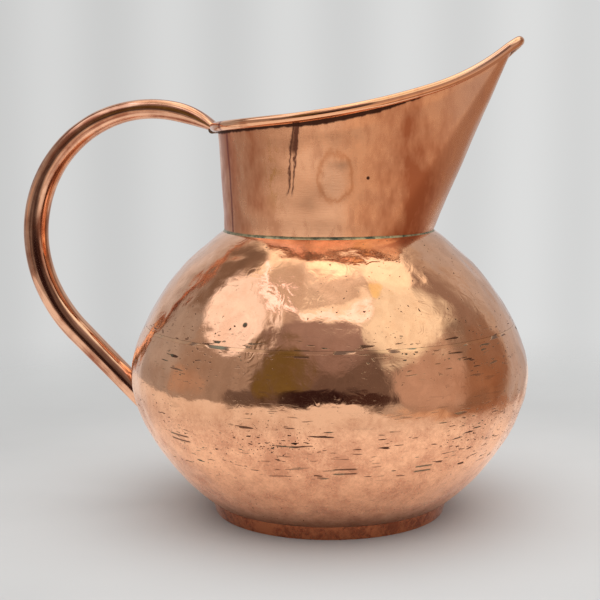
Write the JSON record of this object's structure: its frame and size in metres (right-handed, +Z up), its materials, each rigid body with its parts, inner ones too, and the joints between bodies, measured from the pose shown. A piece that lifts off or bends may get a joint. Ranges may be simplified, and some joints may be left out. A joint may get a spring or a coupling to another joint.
{
  "type": "copper jug",
  "caption": "Antique copper jug with a round belly, a neck drawn out to a pouring spout, a rolled rim and a hollow looped handle.",
  "frame": {"origin": "under the middle of the whole jug, in the plane that its foot ring stands on", "axes": "+Z up along the jug's own axis, +X towards the tip of the spout, -X towards the handle, +Y to the left of the spout"},
  "size_m": [0.2646, 0.2, 0.2357],
  "materials": {
    "copper_body": "hammered and polished copper, tinned inside",
    "copper_neck": "brushed and polished copper, tinned inside",
    "copper_foot": "worn darker copper",
    "copper_handle": "polished copper tube",
    "wire": "plain iron wire",
    "braze": "yellow braze with a trace of verdigris",
    "solder": "dull soft solder"
  },
  "bodies": {
    "root": {"bowl": "copper_body", "shoulder": "copper_body", "girth_braze": "braze", "foot_ring": "copper_foot", "foot_solder": "solder", "neck": "copper_neck", "rim_wire": "wire", "neck_braze": "braze", "handle": "copper_handle", "handle_base_solder": "solder", "handle_top_solder": "solder"}
  },
  "joints": []
}
